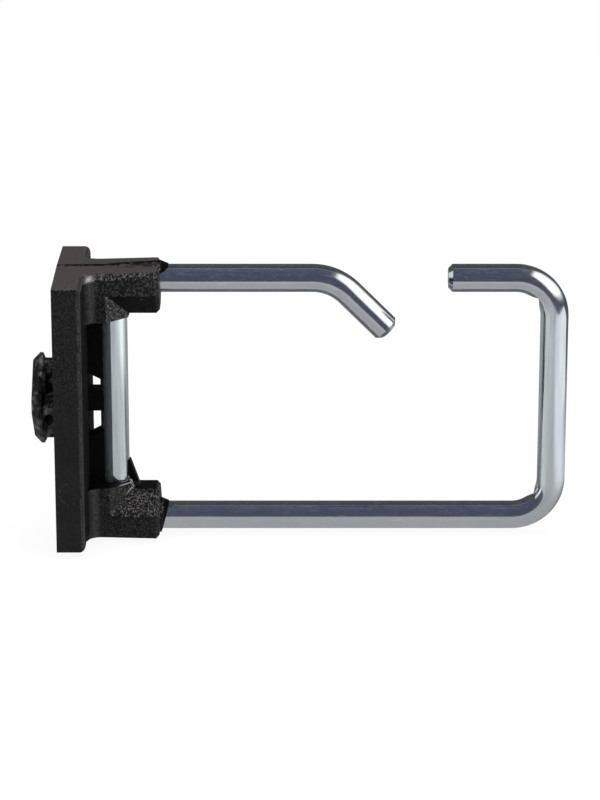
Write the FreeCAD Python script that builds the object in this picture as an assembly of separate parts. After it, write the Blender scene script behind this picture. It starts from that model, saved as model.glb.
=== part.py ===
import FreeCAD, Part
import math
import os

os.makedirs("parts", exist_ok=True)

Vector = FreeCAD.Vector

# Frame: plate back face at X = 0, ring along +X, Z up, all of it mirrored about Y = 0.

# Cable ring: one bent steel rod with its centreline in the plane Y = 0
rod_d = 6.0
ring_rise = 53.0           # long runs, axis to axis
ring_reach = 93.75         # upright runs, axis to axis
rod_stand_off = 11.75      # inner upright axis from the plate back face
bend_r = 8.3               # the two outer bends, on the centreline
inner_bend_r = 7.9         # the two bends inside the sockets
crease_run = 1.0           # pinched inside corner of an outer bend, past the surface of the long run
crease_upright = 0.45      # and past the surface of the upright
crease_run_tilt = 10.0     # turn of the two faces of that corner away from the runs
crease_upright_tilt = 5.0
lead_bend_r = 11.0         # bend of the lead-in lip at the mouth
lead_angle = 45.0
lead_corner = 58.6         # where the lead-in lip turns down, from the plate back face
lead_length = 16.4         # from that corner to the end of the rod
free_end = 82.8            # end of the outer run at the mouth
end_chamfer = 0.9

# Mounting plate, drafted both ways from a parting seam at Y = 0
plate_t = 6.1
plate_w = 36.0
plate_over = 2.8           # plate ends past the rod axes, at the seam
plate_draft = 1.7
plate_round = 1.3          # rounding around the front face

# Elbow sockets that hold the two inner corners of the rod
socket_half_w = 7.3
upper_tip = 21.8           # front face from the plate back face
lower_tip = 21.3
socket_pitch = 0.025       # rise of the outer face per unit away from the plate
socket_inner = 6.95        # inner face from the rod axis
flank_drop = 2.0           # where the sloping flanks start, from the rod axis
nose_half_w = 2.7          # half width left at the inner face
upper_round = 1.8          # long edges of the outer face of the upper one; the lower one is sharp
socket_edge = 0.7          # chamfer around the front face
root_fillet = 3.0          # plate front to socket side
leg_flank_start = 10.7     # where the legs begin to narrow, from the plate back face
leg_front = 15.1           # narrow face of a leg at its end
leg_lean = 0.35            # lean of that face towards the ring per unit of leg
upper_leg = 7.9            # leg end from the rod axis
lower_leg = 8.3

# Gusset in the inner corner of the lower elbow
gusset_half_t = 1.2
gusset_rise = 12.7         # top from the rod axis
gusset_front = 15.0        # front at the top, from the plate back face

# Swell of the sockets around the rod, and the lip that runs out along the top of the rod
swell_root_r = 2.6
swell_tip_r = 3.8
swell_over = 0.25          # past the front face
lip_length = 1.8           # past the front face
lip_feather = 0.15         # wall at the thin end
upper_lip_end = 2.2        # where the slanting end meets the front face, above the rod axis
lower_lip_end = -4.2

# Web and rib that join the plate to the inner upright
web_half_t = 2.0
web_slope = 27.0
upper_web = 21.7           # web end at the rod, from the rod axis
lower_web = 19.7
rib_half_h = 2.3
rib_half_t = 2.1

# Snap foot on the back: a cross-shaped neck under a diamond head
foot_gap = 2.7             # plate back to the rim of the head
catch_slope = 0.6          # depth of the sloping catch face
head_rim = 0.7
head_lead = 1.5            # chamfer that leads the head in
head_half_w = 8.7
head_half_h = 9.9
head_diamond = 10.7        # half diagonal before the tips are cut
catch_set_in = 1.2
neck_half_h = 8.5
neck_half_w = 7.6
neck_half_t = 1.5

# Ejector marks on the near side of the plate
mark_d = 4.7
mark_depth = 0.15
mark_x = 3.2
mark_rise = 15.7

rod_r = rod_d / 2
rod_z = ring_rise / 2
plate_half_w = plate_w / 2
plate_h = ring_rise + 2 * plate_over
bury = plate_t / 3         # how far a feature runs into its neighbour


def polygon(points):
    return Part.makePolygon([Vector(*p) for p in points + points[:1]])


def prism(points, along):
    return Part.Face(polygon(points)).extrude(Vector(*along))


def rounded_path(corners, radii):
    """Wire through the corners with an arc of the given radius at each inner one."""
    edges = []
    start = corners[0]
    for before, corner, after, radius in zip(corners, corners[1:], corners[2:], radii):
        back = (before - corner).normalize()
        ahead = (after - corner).normalize()
        half = back.getAngle(ahead) / 2
        reach = radius / math.tan(half)
        middle = corner + (back + ahead).normalize() * (radius / math.sin(half) - radius)
        arc_in = corner + back * reach
        arc_out = corner + ahead * reach
        edges.append(Part.makeLine(start, arc_in))
        edges.append(Part.Arc(arc_in, middle, arc_out).toShape())
        start = arc_out
    edges.append(Part.makeLine(start, corners[-1]))
    return Part.Wire(edges)


def make_crease():
    """Wedge that pinches the inside of the upper outer bend to a sharp corner."""
    run = math.radians(crease_run_tilt)
    upright = math.radians(crease_upright_tilt)
    corner = Vector(rod_stand_off + ring_reach - rod_r - crease_upright, -rod_d, rod_z - rod_r - crease_run)
    ends = [(0, 0), (-math.cos(run), math.sin(run)), (-1, -1), (math.sin(upright), -math.cos(upright))]
    return prism([corner + Vector(x, 0, z) * rod_r for x, z in ends], (0, 2 * rod_d, 0))


def make_ring():
    slope = math.radians(lead_angle)
    outer_x = rod_stand_off + ring_reach
    lead = Vector(lead_corner, 0, rod_z)
    corners = [
        lead + Vector(math.cos(slope), 0, -math.sin(slope)) * lead_length,
        lead,
        Vector(rod_stand_off, 0, rod_z),
        Vector(rod_stand_off, 0, -rod_z),
        Vector(outer_x, 0, -rod_z),
        Vector(outer_x, 0, rod_z),
        Vector(free_end, 0, rod_z),
    ]
    path = rounded_path(corners, [lead_bend_r, inner_bend_r, inner_bend_r, bend_r, bend_r])
    section = Part.Wire(Part.makeCircle(rod_r, corners[0], corners[1] - corners[0]))
    rod = path.makePipeShell([section], True, False)
    ends = [e for e in rod.Edges
            if any((e.CenterOfMass - end).Length < end_chamfer for end in (corners[0], corners[-1]))]
    crease = make_crease()
    return rod.makeChamfer(end_chamfer, ends).cut([crease, crease.mirror(Vector(0, 0, 0), Vector(0, 0, 1))])


def make_plate_half():
    half_h = plate_h / 2
    edge_h = half_h - plate_half_w * math.tan(math.radians(plate_draft))
    plate = prism([(0, 0, -half_h), (0, plate_half_w, -edge_h), (0, plate_half_w, edge_h), (0, 0, half_h)],
                  (plate_t, 0, 0))
    rim = [e for e in plate.Edges if e.BoundBox.XMin > plate_t / 2 and e.BoundBox.YMax > plate_half_w / 2]
    return plate.makeFillet(plate_round, rim)


def slab(z_root, pitch, fall, thick):
    """Solid on a sloping plane: z_root at the plate front, pitch along X, falling away from the seam."""
    square = [(-plate_w, -plate_w), (plate_w, -plate_w), (plate_w, plate_w), (-plate_w, plate_w)]
    return prism([(x, y, z_root + pitch * (x - plate_t) - fall * y) for x, y in square], (0, 0, thick))


def plan_outline(z, points):
    """Half outline seen from above: plate root with its concave fillet, then the given points."""
    root_y = socket_half_w + root_fillet
    root_x = plate_t + root_fillet
    dip = root_fillet * (1 - math.sqrt(0.5))
    back = plate_t - bury
    arc = Part.Arc(Vector(plate_t, root_y, z), Vector(plate_t + dip, socket_half_w + dip, z),
                   Vector(root_x, socket_half_w, z)).toShape()
    entry = Part.makePolygon([Vector(back, 0, z), Vector(back, root_y, z), Vector(plate_t, root_y, z)])
    front = Part.makePolygon([Vector(root_x, socket_half_w, z)] + [Vector(x, y, z) for x, y in points]
                             + [Vector(back, 0, z)])
    return Part.Wire(entry.Edges + [arc] + front.Edges)


def make_elbow_half(tip, leg, crown_round=None):
    """Upper elbow: socket along the rod with sloping flanks, and the leg that follows the inner upright."""
    inner_z = rod_z - socket_inner
    flank_z = rod_z - flank_drop

    outline = plan_outline(inner_z, [(tip, socket_half_w), (tip, 0)])
    socket = Part.Face(outline).extrude(Vector(0, 0, plate_h))
    socket = socket.cut(slab(plate_h / 2, socket_pitch, math.tan(math.radians(plate_draft)), 2 * plate_h))
    if crown_round:
        crown = max(socket.Faces, key=lambda face: face.CenterOfMass.z)
        sides = [e for e in crown.Edges if e.BoundBox.YMin > nose_half_w and e.CenterOfMass.x > plate_t]
        socket = socket.makeFillet(crown_round, sides)
    flank = prism([(0, nose_half_w, inner_z), (0, socket_half_w, flank_z), (0, plate_w, flank_z),
                   (0, plate_w, inner_z)], (plate_w, 0, 0))
    socket = socket.cut(flank)
    rim = [e for e in socket.Edges if e.BoundBox.XMin > tip - socket_edge and e.BoundBox.YMax > socket_edge]
    socket = socket.makeChamfer(socket_edge, rim)

    end_z = rod_z - leg
    apex = leg_flank_start + socket_half_w * (leg_front - leg_flank_start) / (socket_half_w - nose_half_w)
    outline = plan_outline(end_z, [(leg_flank_start, socket_half_w), (apex, 0)])
    upright = Part.Face(outline).extrude(Vector(0, 0, flank_z - end_z))
    nose = prism([(leg_front, -plate_w, end_z), (leg_front + leg_lean * plate_h, -plate_w, end_z + plate_h),
                  (plate_h, -plate_w, end_z + plate_h), (plate_h, -plate_w, end_z)], (0, 2 * plate_w, 0))
    return socket.fuse(upright.cut(nose))


def make_gusset_half():
    """Upper gusset, between the front of the inner upright and the inner face of the socket."""
    top = rod_z - flank_drop
    end = rod_z - gusset_rise
    return prism([(rod_stand_off, 0, end), (gusset_front, 0, end),
                  (gusset_front + leg_lean * (top - end), 0, top), (rod_stand_off, 0, top)],
                 (0, gusset_half_t, 0))


def make_web_half(length):
    rise = math.tan(math.radians(web_slope))
    tip_z = rod_z - length + rise * (rod_stand_off - rod_r - plate_t + bury)
    end_z = tip_z - rise * (rod_stand_off - plate_t + bury)
    top_z = rod_z - socket_inner
    return prism([(plate_t - bury, 0, top_z), (plate_t - bury, 0, tip_z), (rod_stand_off, 0, end_z),
                  (rod_stand_off, 0, top_z)], (0, web_half_t, 0))


def make_rib_half():
    return Part.makeBox(rod_stand_off - plate_t + bury, rib_half_t, 2 * rib_half_h,
                        Vector(plate_t - bury, 0, -rib_half_h))


def make_lip(axis_z, front, end_z):
    """Swell of a socket around the rod, ending in a lip that is cut on a slant down to end_z."""
    along = Vector(1, 0, 0)
    root = plate_t - bury
    crest = front + swell_over
    tip = front + lip_length
    swell = Part.makeCone(swell_root_r, swell_tip_r, crest - root, Vector(root, 0, axis_z), along)
    lip = Part.makeCone(swell_tip_r, rod_r + lip_feather, tip - crest, Vector(crest, 0, axis_z), along)
    inside = front - bury
    top = rod_r - lip_feather
    below = end_z - bury * (top - end_z) / lip_length
    slant = [(tip, rod_d), (tip, top), (inside, below), (inside, -plate_t - rod_d),
             (tip + bury, -plate_t - rod_d), (tip + bury, rod_d)]
    return swell.fuse(lip).cut(prism([(x, -rod_d, axis_z + z) for x, z in slant], (0, 2 * rod_d, 0)))


def diamond(x, set_in):
    """Diamond outline with cut tips, drawn in by the same distance on every side."""
    half_w = head_half_w - set_in
    half_h = head_half_h - set_in
    reach = head_diamond - set_in * math.sqrt(2)
    quarter = [(half_w, reach - half_w), (reach - half_h, half_h)]
    points = []
    for sign_y, sign_z in ((1, 1), (-1, 1), (-1, -1), (1, -1)):
        side = quarter if sign_y * sign_z > 0 else quarter[::-1]
        points += [(x, sign_y * y, sign_z * z) for y, z in side]
    return polygon(points)


def make_foot():
    rim_in = -foot_gap - catch_slope
    rim_out = rim_in - head_rim
    sections = [diamond(-foot_gap, catch_set_in), diamond(rim_in, 0), diamond(rim_out, 0),
                diamond(rim_out - head_lead, head_lead)]
    head = Part.makeLoft(sections, True, True)
    length = foot_gap + catch_slope + bury
    neck = [Part.makeBox(length, 2 * half_w, 2 * half_h, Vector(rim_in, -half_w, -half_h))
            for half_w, half_h in ((neck_half_t, neck_half_h), (neck_half_w, neck_half_t))]
    return head.multiFuse(neck)


def make_base(rod):
    seam = Vector(0, 1, 0)
    middle = Vector(0, 0, 1)
    origin = Vector(0, 0, 0)
    half = make_plate_half().multiFuse([
        make_elbow_half(upper_tip, upper_leg, upper_round),
        make_elbow_half(lower_tip, lower_leg).mirror(origin, middle),
        make_gusset_half().mirror(origin, middle),
        make_web_half(upper_web),
        make_web_half(lower_web).mirror(origin, middle),
        make_rib_half(),
    ])
    base = half.multiFuse([
        half.mirror(origin, seam),
        make_foot(),
        make_lip(rod_z, upper_tip, upper_lip_end),
        make_lip(-rod_z, lower_tip, lower_lip_end),
    ])
    floor_y = mark_depth - plate_half_w
    marks = [Part.makeCylinder(mark_d / 2, 2 * mark_depth, Vector(mark_x, floor_y, z), -seam)
             for z in (mark_rise, -mark_rise)]
    return base.removeSplitter().cut([rod] + marks)


ring = make_ring()
base = make_base(ring)
ring.exportStep("parts/cable_ring.step")
base.exportStep("parts/mounting_base.step")
for name, shape in (("cable_ring", ring), ("mounting_base", base)):
    box = shape.optimalBoundingBox()
    print(name, "valid" if shape.isValid() else "not valid", len(shape.Solids), "solid",
          "size %.1f x %.1f x %.1f mm" % (box.XLength, box.YLength, box.ZLength),
          "volume %.1f mm3" % shape.Volume)
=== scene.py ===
# %% [markdown]
# # A rack cable ring
# The object is a ring of bent, zinc-plated steel rod. Its two inner corners are moulded into a
# black plastic base, and the base snaps into the upright of a rack. Both solids arrive from the CAD
# step as a fixed frame, so their shapes are settled. This lesson gives them their finishes, builds
# a small studio round them and sets up the photograph's camera. Loading comes first, because the
# box of the untouched part is measured here and compared with the finished one at the end.

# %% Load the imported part
import math

import bpy
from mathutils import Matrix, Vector


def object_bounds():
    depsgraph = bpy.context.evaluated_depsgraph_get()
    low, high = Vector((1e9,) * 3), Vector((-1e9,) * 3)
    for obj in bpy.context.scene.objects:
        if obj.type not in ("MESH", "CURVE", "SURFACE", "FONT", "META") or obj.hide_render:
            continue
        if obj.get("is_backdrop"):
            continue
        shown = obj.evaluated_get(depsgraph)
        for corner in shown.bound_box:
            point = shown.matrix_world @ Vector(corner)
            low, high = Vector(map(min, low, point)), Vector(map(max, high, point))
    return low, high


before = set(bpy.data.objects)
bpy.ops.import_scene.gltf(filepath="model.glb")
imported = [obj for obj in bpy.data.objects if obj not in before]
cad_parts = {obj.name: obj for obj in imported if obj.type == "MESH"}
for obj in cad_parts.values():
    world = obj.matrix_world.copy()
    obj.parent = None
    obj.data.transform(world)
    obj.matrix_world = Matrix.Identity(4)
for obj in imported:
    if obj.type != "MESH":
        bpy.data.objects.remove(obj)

mm = 0.001
cad_box = [list(corner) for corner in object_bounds()]
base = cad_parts["mounting_base"]
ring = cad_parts["cable_ring"]
print("pieces:", sorted(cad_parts))
print("box in mm:", [[round(c / mm, 1) for c in corner] for corner in cad_box])

# %% [markdown]
# ## A short way to write shader nodes
# Every finish below is a graph of shader nodes. In the Shader Editor they are drawn by hand. A
# script has to add each node, set its values and draw its links, so one helper does all three: a
# plain value is set on the input, and the output of another node is linked to it. The other helpers
# name two steps of maths that come up again and again, the product and the largest of some values,
# and start an empty material.

# %% Node helpers
def add(tree, kind, inputs=None, **settings):
    node = tree.nodes.new("ShaderNode" + kind)
    for name, value in settings.items():
        setattr(node, name, value)
    for name, value in (inputs or {}).items():
        if isinstance(value, bpy.types.NodeSocket):
            tree.links.new(value, node.inputs[name])
        else:
            node.inputs[name].default_value = value
    return node


def maths(tree, operation, a, b=0.0):
    return add(tree, "Math", {0: a, 1: b}, operation=operation).outputs[0]


def times(tree, first, *others):
    for other in others:
        first = maths(tree, "MULTIPLY", first, other)
    return first


def largest(tree, first, *others):
    for other in others:
        first = maths(tree, "MAXIMUM", first, other)
    return first


def new_material(name):
    material = bpy.data.materials.new(name)
    material.use_nodes = True
    material.node_tree.nodes.clear()
    return material, material.node_tree


print("node helpers ready")

# %% [markdown]
# ## The white table
# The photograph's background is plain white. A large floor stands for it: to the camera and to the
# mirror-like rod it glows white, and a small share of white paper is mixed in, so that the object
# still drops a soft shadow. Stronger lamps would whiten the floor too, but they would bleach the
# black plastic with it.

# %% Floor
floor_z = cad_box[0][2] - 0.2 * mm
floor_size = 6.0
glow_share = 0.92
bpy.ops.object.select_all(action="DESELECT")
bpy.ops.mesh.primitive_plane_add(size=floor_size, location=(0.05, 0, floor_z))
floor = bpy.context.object
floor.name = "white_table"
floor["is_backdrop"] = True


def seen_directly(tree):
    """One for rays from the camera, mirrors and glass, zero for light on the object."""
    path = add(tree, "LightPath")
    rays = ("Is Camera Ray", "Is Glossy Ray", "Is Transmission Ray")
    return largest(tree, *(path.outputs[ray] for ray in rays))


material, tree = new_material("white_table")
paper = add(tree, "BsdfDiffuse", {"Color": (0.9, 0.9, 0.9, 1)})
glow = add(tree, "Emission", {"Color": (1, 1, 1, 1)})
share = times(tree, seen_directly(tree), glow_share)
surface = add(tree, "MixShader", {0: share, 1: paper.outputs[0], 2: glow.outputs[0]})
add(tree, "OutputMaterial", {"Surface": surface.outputs[0]})
floor.data.materials.append(material)
print("floor at z = %.1f mm" % (floor_z / mm))

# %% [markdown]
# ## The room
# The world behind the table does the same job at the horizon: white where it is looked at, and half
# as bright where it lights the object, which keeps the shadows on the black plastic soft. A
# backdrop could stand there instead, but it would have to be turned for every other view.

# %% World
room_light = 0.5
world = bpy.data.worlds.new("white_room")
bpy.context.scene.world = world
world.use_nodes = True
tree = world.node_tree
tree.nodes.clear()
room = add(tree, "Background", {"Color": (1, 1, 1, 1), "Strength": room_light})
white = add(tree, "Background", {"Color": (1, 1, 1, 1), "Strength": 1.0})
surface = add(tree, "MixShader", {0: seen_directly(tree), 1: room.outputs[0], 2: white.outputs[0]})
add(tree, "OutputWorld", {"Surface": surface.outputs[0]})
print("world:", world.name)

# %% [markdown]
# ## Lamps
# Four softboxes light the plastic and the table: a large one overhead, one in front and to the
# right, a low one beside the table and a weak one on the left. Point lamps would be simpler, but
# area lamps drop the soft shadows of a product photograph. They are hidden from mirror rays,
# because the polished rod would show each of them as a hard white patch. What the rod shows is
# built next.

# %% Softboxes
middle = Vector((0.05, 0, 0))
softboxes = [  # name, place, size in metres, watts
    ("right_softbox", (0.62, -0.4, 0.36), 0.3, 3.2),
    ("low_softbox", (0.55, -0.5, 0.1), 0.2, 1.6),
    ("left_softbox", (-0.6, -0.5, 0.5), 0.4, 1.2),
    ("top_softbox", (0.05, 0.1, 0.9), 0.8, 9.0),
]
for name, place, size, watts in softboxes:
    lamp = bpy.data.lights.new(name, "AREA")
    lamp.size = size
    lamp.energy = watts
    holder = bpy.data.objects.new(name, lamp)
    holder.location = place
    holder.rotation_euler = (middle - Vector(place)).to_track_quat("-Z", "Y").to_euler()
    holder.visible_glossy = False
    bpy.context.scene.collection.objects.link(holder)
print("lamps:", sorted(light.name for light in bpy.data.lights))

# %% [markdown]
# ## Cards round the set
# Polished metal has hardly any colour of its own and shows the room instead. The long runs of the
# real rod are dark above and light below, because the room over the table and behind the camera was
# dim. Cards stand for that room, as flags and reflectors do in a studio. Painting the bands on the
# rod would be easier, but they would stay where they are when the view turns. Only mirror rays see
# the cards, so they neither shade the object nor show in the picture.

# %% First card
def card(name, corners, colour):
    material, tree = new_material(name)
    glow = add(tree, "Emission", {"Color": (*colour, 1)})
    add(tree, "OutputMaterial", {"Surface": glow.outputs[0]})
    mesh = bpy.data.meshes.new(name)
    mesh.from_pydata(corners, [], [(0, 1, 2, 3)])
    mesh.materials.append(material)
    sheet = bpy.data.objects.new(name, mesh)
    bpy.context.scene.collection.objects.link(sheet)
    sheet.visible_camera = False
    sheet.visible_diffuse = False
    sheet.visible_shadow = False
    sheet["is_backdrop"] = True
    return material


def level(x0, x1, y0, y1, z):
    return [(x0, y0, z), (x1, y0, z), (x1, y1, z), (x0, y1, z)]


far = 2.5
table_front = -0.19
card_z = floor_z + 0.5 * mm
dim_blue = (0.095, 0.102, 0.14)
card("card_before_table", level(-far, far, -2.0, table_front, card_z), dim_blue)
print("first card at z = %.1f mm" % (card_z / mm))

# %% [markdown]
# The other dim cards close the room: a wall in front and one behind, a ceiling in two halves, and
# the table behind the ring on both sides. Two strips of the ceiling are a little lighter, for the
# faint light lines along the dark tops of the runs. One box would be simpler, but each side of it
# has its own shade on the rod.

# %% Dim cards
def upright(y, z0, z1):
    return [(-far, y, z0), (far, y, z0), (far, y, z1), (-far, y, z1)]


front_y, back_y, ceiling_z = -1.3, 1.0, 1.2
ceiling_split = -0.26
lamp_z = ceiling_z - 0.01
table_half = 0.2
dim_grey = (0.1, 0.098, 0.1)
ceiling_blue, ceiling_grey = (0.097, 0.106, 0.168), (0.08, 0.08, 0.095)
lamp_grey, lamp_dim = (0.2, 0.21, 0.25), (0.16, 0.17, 0.21)
card("card_front", upright(front_y, floor_z, ceiling_z), dim_blue)
card("card_ceiling_front", level(-far, far, front_y, ceiling_split, ceiling_z), ceiling_blue)
card("card_ceiling_back", level(-far, far, ceiling_split, back_y, ceiling_z), ceiling_grey)
card("card_back", upright(back_y, floor_z, ceiling_z), dim_grey)
card("card_overhead", level(-far, far, -0.02, 0.22, lamp_z), lamp_grey)
card("card_overhead_front", level(-far, far, -0.36, ceiling_split, lamp_z), lamp_dim)
card("card_table_back_left", level(-far, -table_half, 0.012, back_y, card_z), dim_grey)
card("card_table_back_right", level(table_half, far, 0.05, back_y, card_z), dim_grey)

# %% [markdown]
# Two more cards change in brightness from one side to the other, and later the finishes change from
# zone to zone. A Map Range node makes a soft step out of a place, and a Mix node blends two colours
# by such a step. Hard borders would need fewer nodes, but each of them would show as a line.

# %% Soft steps
def ramp(tree, value, start, end, low=0.0, high=1.0):
    """Goes softly from low to high as the value goes from start to end, and is level outside."""
    inputs = {"Value": value, "From Min": start, "From Max": end, "To Min": low, "To Max": high}
    return add(tree, "MapRange", inputs, interpolation_type="SMOOTHSTEP").outputs[0]


def tint(tree, share, a, b):
    return add(tree, "Mix", {0: share, 6: a, 7: b}, data_type="RGBA").outputs[2]


print("soft steps ready")

# %% [markdown]
# The underside of the long runs shows the table itself, which gets darker towards the object, where
# the ring shades it. A row of cards would draw that fall-off in steps, so one card has a colour
# ramp along its depth. To the right of the ring nothing shades the table, so there it is bright and
# dims only behind the ring.

# %% Table card with a fall-off
def card_light(material):
    """The glow of a card, and the place on it, for a brightness that changes across the card."""
    tree = material.node_tree
    glow = next(node for node in tree.nodes if node.type == "EMISSION")
    place = add(tree, "SeparateXYZ", {0: add(tree, "TexCoord").outputs["Object"]})
    return tree, glow, place


corners = level(-table_half, table_half, table_front, back_y, card_z)
material = card("card_table", corners, (1, 1, 1))
tree, glow, place = card_light(material)
nearest, farthest = -0.2, 0.05
depths = {"Value": place.outputs["Y"], "From Min": nearest, "From Max": farthest}
fall = add(tree, "ValToRGB", {"Fac": add(tree, "MapRange", depths).outputs[0]})
stops = [  # depth in metres, grey
    (-0.19, 0.67), (-0.085, 0.55), (-0.04, 0.5), (-0.016, 0.55),
    (-0.002, 0.51), (0.004, 0.3), (0.014, 0.12), (0.05, 0.3),
]
while len(fall.color_ramp.elements) < len(stops):
    fall.color_ramp.elements.new(0.5)
for stop, (depth, grey) in zip(fall.color_ramp.elements, stops):
    stop.position = (depth - nearest) / (farthest - nearest)
    stop.color = (grey, grey, grey, 1)
bright, shaded_back = (0.95, 0.95, 0.96, 1), (0.3, 0.3, 0.31, 1)
beyond = tint(tree, ramp(tree, place.outputs["Y"], -0.02, 0.08), bright, shaded_back)
shade = tint(tree, ramp(tree, place.outputs["X"], 0.108, 0.15), fall.outputs["Color"], beyond)
tree.links.new(shade, glow.inputs["Color"])
print("table card stops:", len(fall.color_ramp.elements))

# %% [markdown]
# A white wall on the right gives the lead-in lip its bright stripe. The stripe is broad and its
# edges are soft, so this is no plain card either. Its glow is full in the middle and fades out
# towards all four sides.

# %% White wall on the right
wall_x, wall_front, wall_back, wall_top = 0.62, -1.1, 0.7, 1.18
edge_glow, full_glow = 0.1, 1.75
corners = [(wall_front, 0.0), (wall_back, 0.0), (wall_back, wall_top), (wall_front, wall_top)]
material = card("card_right", [(wall_x, y, z) for y, z in corners], (1, 1, 1))
tree, glow, place = card_light(material)
y, z = place.outputs["Y"], place.outputs["Z"]
across = times(tree, ramp(tree, y, -1.05, -0.5), ramp(tree, y, 0.55, 0.0))
upward = times(tree, ramp(tree, z, 0.02, 0.22), ramp(tree, z, wall_top, 0.8))
strength = ramp(tree, times(tree, across, upward), 0.0, 1.0, edge_glow, full_glow)
tree.links.new(strength, glow.inputs["Strength"])
print("white wall at x = %.2f m" % wall_x)

# %% [markdown]
# ## Zinc on drawn rod
# The rod was drawn through a die before it was bent and plated, which leaves fine lines along it.
# They run level on the long runs and upright on the two short ones. A UV map along the rod would
# follow the bends, but the CAD mesh has none and stays as it is, so two noises are stretched, one
# each way, and a mask made from the place on the ring chooses between them. Object coordinates in
# millimetres are used, so a size in the texture is a size on the part.

# %% Drawing lines
def millimetres(tree):
    place = add(tree, "TexCoord").outputs["Object"]
    return add(tree, "Mapping", {"Vector": place, "Scale": (1000, 1000, 1000)}).outputs[0]


def blend(tree, share, a, b):
    return add(tree, "Mix", {0: share, 2: a, 3: b}, data_type="FLOAT").outputs[0]


def noise(tree, vector, scale, detail=2.0, rough=0.5):
    inputs = {"Vector": vector, "Scale": scale, "Detail": detail, "Roughness": rough}
    return add(tree, "TexNoise", inputs).outputs[0]


zinc, tree = new_material("zinc_steel")
point = millimetres(tree)
place = add(tree, "SeparateXYZ", {0: point})
x, z = place.outputs["X"], place.outputs["Z"]
beside = largest(tree, ramp(tree, x, 30, 22), ramp(tree, x, 88, 96))
on_upright = times(tree, beside, ramp(tree, maths(tree, "ABSOLUTE", z), 23, 18))


def drawn(along, across, detail, start):
    """Lines with so many changes per millimetre along and across the rod."""
    level_lines = {"Vector": point, "Location": (start, 0, 0), "Scale": (along, across, across)}
    upright_lines = {"Vector": point, "Location": (0, 0, start), "Scale": (across, across, along)}
    ways = [add(tree, "Mapping", run).outputs[0] for run in (level_lines, upright_lines)]
    return blend(tree, on_upright, *(noise(tree, way, 1.0, detail, 0.6) for way in ways))


lines_per_mm, hairs_per_mm = 1.5, 6.0
lines = drawn(0.09, lines_per_mm, 4.0, 3.0)
hairs = drawn(0.16, hairs_per_mm, 2.0, 11.0)
scratch = ramp(tree, hairs, 0.6, 0.72)
print("zinc lines: %.1f and %.1f per mm across the rod" % (lines_per_mm, hairs_per_mm))

# %% [markdown]
# The plating is not quite even. A slow drift takes its colour from grey to the faint blue of
# the passivation. The two uprights are painted lighter, most of all on the sides that face the
# inside of the ring, a painted reflection. The drawing lines are darker and the scratches lighter.
# Each of these is a coat of colour with a mask for its share, laid over the coats before it, which
# is easier to change than one long formula.

# %% Zinc colour
def paint(tree, colour, *coats):
    """Lays coats over a colour, one after another. Each coat is a share and its own colour."""
    for share, coat in coats:
        colour = tint(tree, share, colour, coat)
    return colour


zinc_blue, zinc_grey = (0.57, 0.612, 0.664, 1), (0.605, 0.636, 0.672, 1)
upright_sheen_zinc, inward_sheen_zinc = (0.775, 0.86, 0.9, 1), (0.89, 0.98, 1.0, 1)
line_zinc, scratch_zinc = (0.5, 0.53, 0.57, 1), (0.78, 0.8, 0.83, 1)
facing = add(tree, "SeparateXYZ", {0: add(tree, "NewGeometry").outputs["Normal"]})
inward = times(tree, facing.outputs["X"], ramp(tree, x, 40, 80, 1.0, -1.0))
drift = noise(tree, point, 0.13, 3.0)
colour = paint(
    tree, tint(tree, ramp(tree, drift, 0.35, 0.65), zinc_blue, zinc_grey),
    # painted reflection: the uprights are painted lighter, most of all on their sides facing the
    # ring's inside
    (times(tree, on_upright, ramp(tree, x, 60, 30, 0.45, 0.68)), upright_sheen_zinc),
    (times(tree, on_upright, ramp(tree, inward, 0.05, 0.65)), inward_sheen_zinc),
    (ramp(tree, lines, 0.45, 0.7, 0.0, 0.3), line_zinc),
    (times(tree, scratch, 0.35), scratch_zinc))
print("zinc colour from", len(tree.nodes), "nodes")

# %% [markdown]
# Along the lines and in small flecks a little chalky bloom scatters light where the mirror is dark.
# It is a small loss of the metallic value, so it shows in the dark bands and vanishes in the bright
# ones, as it does on the real rod. A lighter colour would show in both. The side of the inner
# upright that faces the plate gets a haze of the same bloom as painted light, which lifts its dark
# reflection of the plate.

# %% Zinc bloom and shader
mottle = noise(tree, point, 0.9, 3.0, 0.65)
line_bloom = times(tree, ramp(tree, lines, 0.42, 0.62), ramp(tree, mottle, 0.4, 0.65), 0.4)
flecks = ramp(tree, noise(tree, point, 3.4, 2.0, 0.6), 0.55, 0.72)
# painted light: bloom on the inner upright's side facing the plate lifts its dark reflection
painted_lift_haze = times(tree, on_upright, ramp(tree, x, 60, 30), ramp(tree, inward, 0.0, -0.35))
bloom = largest(tree, line_bloom, flecks, times(tree, scratch, 0.8), painted_lift_haze)
metallic = ramp(tree, bloom, 0.0, 1.0, 1.0, 0.91)
rough = maths(tree, "ADD", ramp(tree, lines, 0.3, 0.7, 0.1, 0.16), times(tree, scratch, 0.1))
height = maths(tree, "SUBTRACT", lines, times(tree, scratch, 0.3))
bump = add(tree, "Bump", {"Strength": 0.15, "Distance": 0.03 * mm, "Height": height})
finish = {"Base Color": colour, "Metallic": metallic, "Roughness": rough, "Normal": bump.outputs[0]}
shader = add(tree, "BsdfPrincipled", finish)
add(tree, "OutputMaterial", {"Surface": shader.outputs[0]})
ring.data.materials.clear()
ring.data.materials.append(zinc)
print("zinc on", ring.name, "with", len(tree.nodes), "nodes")

# %% [markdown]
# ## Moulded black plastic
# The mould was spark-eroded, so the plastic has a fine pebbly grain, strong on the sockets,
# sparkling on the facets of the legs and faint on the plate. The grain is too fine for geometry,
# which would need millions of faces, so it lives in the material. First come the zones, made from
# the place on the part in millimetres and from the way a face looks: each is one inside its zone,
# zero outside it, and soft at its border. Painting the zones by hand would need a UV map, and
# borders written as numbers are easier to correct.

# %% Zones of the moulding
def zone(tree, *borders):
    """Each border is a value, where it begins to count and where it counts in full."""
    return times(tree, *(ramp(tree, value, begin, full) for value, begin, full in borders))


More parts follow.
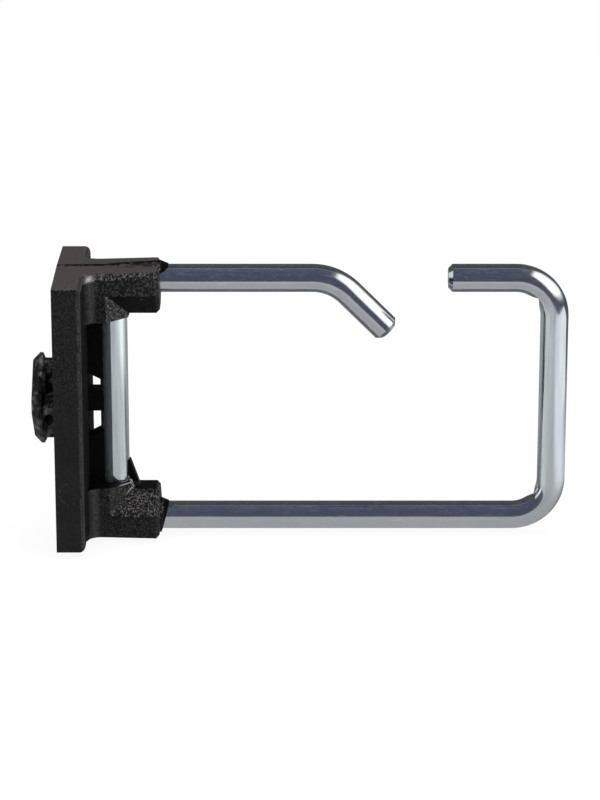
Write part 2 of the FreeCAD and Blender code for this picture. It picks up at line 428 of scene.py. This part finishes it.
plastic, tree = new_material("black_plastic")
point = millimetres(tree)
place = add(tree, "SeparateXYZ", {0: point})
x, y, z = (place.outputs[axis] for axis in "XYZ")
off_middle = maths(tree, "ABSOLUTE", y)
off_centre = maths(tree, "ABSOLUTE", z)
surface_normal = add(tree, "NewGeometry").outputs["Normal"]
facing = add(tree, "SeparateXYZ", {0: surface_normal})
nx, nz = facing.outputs["X"], facing.outputs["Z"]
on_socket = zone(tree, (x, 6.2, 7.6), (off_centre, 16.0, 18.0))
on_crown = zone(tree, (nz, 0.85, 0.97), (z, 24.0, 26.0))
on_round = zone(tree, (nz, 0.1, 0.35), (nz, 0.97, 0.85), (z, 23.0, 25.0))
# painted highlight: a pale spot where the upper rounding meets the root hollow
on_highlight_corner = zone(tree, (nz, 0.92, 0.6), (x, 6.3, 7.0), (x, 8.6, 7.2))
on_flank = zone(tree, (nz, 0.3, 0.55), (nz, 0.95, 0.8), (z, -18.8, -21.2))
on_facet = zone(tree, (nx, 0.3, 0.5), (nx, 0.97, 0.85), (x, 9.5, 10.5), (x, 20.0, 18.0))
on_leg_tip = zone(tree, (x, 12.4, 13.4), (x, 16.2, 15.2), (z, -21.0, -19.6), (z, -17.0, -17.8))
on_rim = zone(tree, (nx, 0.2, 0.5), (nx, 0.97, 0.85), (x, 6.3, 6.0), (x, 3.0, 4.5))
on_root = zone(tree, (x, 6.3, 7.3), (x, 9.5, 7.9), (nz, 0.8, 0.4), (off_centre, 16.0, 18.0))
on_web = zone(tree, (off_middle, 2.7, 2.4), (x, 5.9, 6.3), (off_centre, 19.0, 18.0))
on_front = zone(tree, (nx, 0.9, 0.98), (x, 5.5, 5.9), (x, 6.7, 6.3))
on_lip = zone(tree, (x, 21.9, 22.2))
on_foot = zone(tree, (x, -0.5, -1.5))
on_ledge = zone(tree, (nz, 0.8, 0.95), (z, -10.0, -14.0))
on_underside = zone(tree, (nz, -0.3, -0.6), (x, 6.0, 8.0))
print("plastic zones from", len(tree.nodes), "nodes")

# %% [markdown]
# The grain is two noises, one of pebbles about half a millimetre across and one finer. A Bevel node
# blurs the normals near sharp edges, and where its answer differs from the face's own normal there
# is an edge, so the same node both softens the edges and says where painted glints and highlights
# gather on them.

# %% Grain and edges
def by_zone(tree, value, *zones):
    """Gives each zone a value of its own, the later zones over the earlier ones."""
    for inside, own in zones:
        value = blend(tree, inside, value, own)
    return value


pebbles_per_mm, fine_per_mm = 2.4, 4.4
pebbles = noise(tree, point, pebbles_per_mm, 1.0, 0.5)
fine = noise(tree, point, fine_per_mm, 1.0, 0.5)
grain = blend(tree, 0.4, pebbles, fine)
plate_depth = ramp(tree, z, -5.0, 15.0, 0.15, 0.7)
grain_depth = by_zone(
    tree, plate_depth, (on_socket, 1.0), (on_crown, 0.4), (on_root, 0.4), (on_foot, 0.7))
softened = add(tree, "Bevel", {"Radius": 0.45 * mm}, samples=6).outputs[0]
compare = add(tree, "VectorMath", {0: softened, 1: surface_normal}, operation="DOT_PRODUCT")
edge = ramp(tree, compare.outputs["Value"], 0.995, 0.93)
print("grain: %.1f and %.1f per mm" % (pebbles_per_mm, fine_per_mm))

# %% [markdown]
# The highest grains glint. A rough shader alone would blur them to an even grey, so they are picked
# out of the noise and painted in as pale colour, a painted highlight. Each zone has its own share
# of
# them: most on the upper rounding, the flank of the lower socket and the facets, hardly any on the
# plate. Edges get more of them.

# %% Glints
glint = ramp(tree, grain, 0.48, 0.64)
plate_share = ramp(tree, z, -5.0, 15.0, 0.02, 0.05)
socket_share = ramp(tree, z, 22.0, 25.2, 0.06, 0.16)
facet_share = ramp(tree, z, -10.0, 10.0, 0.28, 0.6)
edge_share = ramp(tree, z, 20.0, 25.0, 0.2, 0.7)
glint_share = by_zone(
    tree, plate_share, (on_socket, socket_share), (on_facet, facet_share), (on_flank, 0.54),
    (on_round, 0.48), (on_rim, 0.12), (on_crown, 0.1), (on_underside, 0.04))
# painted highlight: glints laid on the grain tips as pale colour, more of them on edges
painted_glints = times(tree, glint, largest(tree, glint_share, times(tree, edge, edge_share)))
print("glints by zone, after", len(tree.nodes), "nodes")

# %% [markdown]
# Where the two halves of the mould met, a thin dark line runs along the top of the part. It
# thickens into an uneven crust of flash towards the rod, and the lips round the rod are flash too,
# so both are darker and duller than the rest. The line could be a groove in the solid, but it
# wanders and breaks off as only a noise does. A few pale specks of dust lie on the plate, and the
# sides of the foot are scuffed in patches.

# %% Parting seam, flash and specks
wobble = ramp(tree, noise(tree, point, 0.7, 2.0), 0.3, 0.7, -0.35, 0.35)
off_seam = maths(tree, "ABSOLUTE", maths(tree, "ADD", y, wobble))
unbroken = ramp(tree, noise(tree, point, 0.45, 2.0), 0.3, 0.42)
seam = times(tree, ramp(tree, off_seam, 0.95, 0.45), unbroken)
crumbs = ramp(tree, noise(tree, point, 0.9, 4.0, 0.65), 0.42, 0.56)
crust = times(tree, crumbs, ramp(tree, off_seam, 3.0, 1.2), ramp(tree, x, 9.0, 16.0))
flash = largest(tree, times(tree, largest(tree, seam, crust), on_crown), on_lip)
cells = add(tree, "TexVoronoi", {"Vector": point, "Scale": 0.55})
lot = add(tree, "SeparateColor", {0: cells.outputs["Color"]}).outputs[0]
chosen = maths(tree, "GREATER_THAN", lot, 0.96)
speck = times(tree, ramp(tree, cells.outputs["Distance"], 0.12, 0.06), chosen)
patches = ramp(tree, noise(tree, point, 0.45, 3.0, 0.6), 0.46, 0.7)
scuff = times(tree, patches, on_foot, ramp(tree, nx, -0.9, -0.6))
print("seam at y = 0, flash beyond x = 9 mm")

# %% [markdown]
# The colour is a warm near-black. The top is painted browner and lighter, a painted light from
# above, and the facets of the legs, which face the lamps on the right, are painted a little lighter
# too. The glints on the grain, a spot at the top of the root and the edges at the tip of the lower
# leg are painted highlights in pale grey. The web and the ledge are painted shade in deep black,
# and the flash, which is truly dark, shares that black. They are coats of colour again, as on the
# zinc.

# %% Plastic colour
near_black, worn_black = (0.0036, 0.0031, 0.0032, 1), (0.0054, 0.0046, 0.0047, 1)
# painted light from above: the top faces are painted browner and lighter
top_lit_brown, facet_lit_grey = (0.039, 0.0315, 0.031, 1), (0.008, 0.0075, 0.0082, 1)
glint_grey, corner_highlight_grey = (0.2, 0.19, 0.2, 1), (0.2, 0.19, 0.21, 1)
scuff_grey, dust = (0.16, 0.153, 0.16, 1), (0.2, 0.19, 0.18, 1)
shade_and_flash_black, leg_tip_highlight_grey = (0.002, 0.0018, 0.0018, 1), (0.42, 0.41, 0.43, 1)
drift = ramp(tree, noise(tree, point, 0.25, 3.0), 0.35, 0.65)
# painted shade: the web between plate and rod and the ledge on the lower leg lie in shade
shaded = largest(tree, on_web, times(tree, on_ledge, 0.8))
body = paint(
    tree, tint(tree, drift, near_black, worn_black),
    (on_crown, top_lit_brown),
    # painted light: the leg facets that face the lamps on the right are painted lighter
    (on_facet, facet_lit_grey),
    # painted highlight: pale glints on the grain
    (painted_glints, glint_grey),
    # painted highlight at the top of the root
    (times(tree, on_round, on_highlight_corner), corner_highlight_grey),
    (scuff, scuff_grey),
    (times(tree, speck, 0.5), dust),
    # painted shade on the web and ledge, and the truly dark flash
    (largest(tree, shaded, times(tree, flash, 0.95)), shade_and_flash_black),
    # painted highlight on the edges at the tip of the lower leg
    (times(tree, edge, on_leg_tip), leg_tip_highlight_grey))
print("plastic colour after", len(tree.nodes), "nodes")

# %% [markdown]
# The hollows at the roots of the sockets are the smoothest in the mould and have the most gloss,
# while the web, the front of the plate and the undersides are dull; that dullness also stands in
# for the shade those places lie in, a painted shade. The pits of the grain reflect less than its
# tips. The roughness follows the grain, and the bump takes the softened normals, the grain and the
# groove of the seam.

# %% Plastic gloss and bump
smooth = largest(tree, on_root, times(tree, on_rim, 0.6))
root_top = times(tree, on_round, ramp(tree, x, 11.0, 8.5))
gloss = by_zone(tree, 0.25, (smooth, 0.58), (root_top, 1.0))
pits = blend(tree, grain_depth, 1.0, ramp(tree, grain, 0.34, 0.52, 0.3, 1.1))
# painted shade: web, ledge, plate front and undersides are made dull, along with the real flash
dull = largest(tree, shaded, flash, on_front, on_underside)
gloss = times(tree, gloss, pits, ramp(tree, dull, 0.0, 1.0, 1.0, 0.15))
rough = maths(tree, "ADD", ramp(tree, grain, 0.35, 0.65, 0.3, 0.44), times(tree, flash, 0.25))
rough = largest(tree, rough, times(tree, on_front, 0.9))
height = maths(tree, "SUBTRACT", times(tree, grain, grain_depth), times(tree, flash, 0.4))
relief = {"Strength": 1.0, "Distance": 0.7 * mm, "Height": height, "Normal": softened}
bump = add(tree, "Bump", relief)
finish = {"Base Color": body, "Roughness": rough, "Specular IOR Level": gloss}
shader = add(tree, "BsdfPrincipled", {**finish, "Normal": bump.outputs[0]})
add(tree, "OutputMaterial", {"Surface": shader.outputs[0]})
base.data.materials.clear()
base.data.materials.append(plastic)
print("plastic on", base.name, "with", len(tree.nodes), "nodes")

# %% [markdown]
# ## The camera
# The picture looks square at the ring from about 17 degrees above it, through a long lens. A camera
# can be set by eye, but these numbers were fitted to some thirty edges measured in the photograph,
# so the render can be laid over it. The picture is 800 pixels tall, and Blender takes the sensor's
# 36 mm along the longer side, which turns the lens from pixels into millimetres.

# %% Camera
frame_px = 800.0
lens_px = 3200.0
shift_px = (0.68, -1.14)
distance = 0.6852
elevation = math.radians(17.29)
target = Vector((0.05129, 0, -0.00032))
camera_data = bpy.data.cameras.new("camera")
camera_data.sensor_width = 36.0
camera_data.lens = lens_px * camera_data.sensor_width / frame_px
camera_data.shift_x, camera_data.shift_y = (px / frame_px for px in shift_px)
camera_data.clip_start = 0.01
camera = bpy.data.objects.new("camera", camera_data)
bpy.context.scene.collection.objects.link(camera)
camera.location = target + Vector((0, -math.cos(elevation), math.sin(elevation))) * distance
camera.rotation_euler = (target - camera.location).to_track_quat("-Z", "Y").to_euler()
bpy.context.scene.camera = camera
bpy.context.scene.view_settings.view_transform = "Standard"
print("lens %.0f mm" % camera_data.lens)

# %% Finish
visual_box = [list(corner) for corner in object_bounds()]
changes = [abs(a - b) / mm for low, high in zip(cad_box, visual_box) for a, b in zip(low, high)]
print("largest change in mm: %.4f" % max(changes))
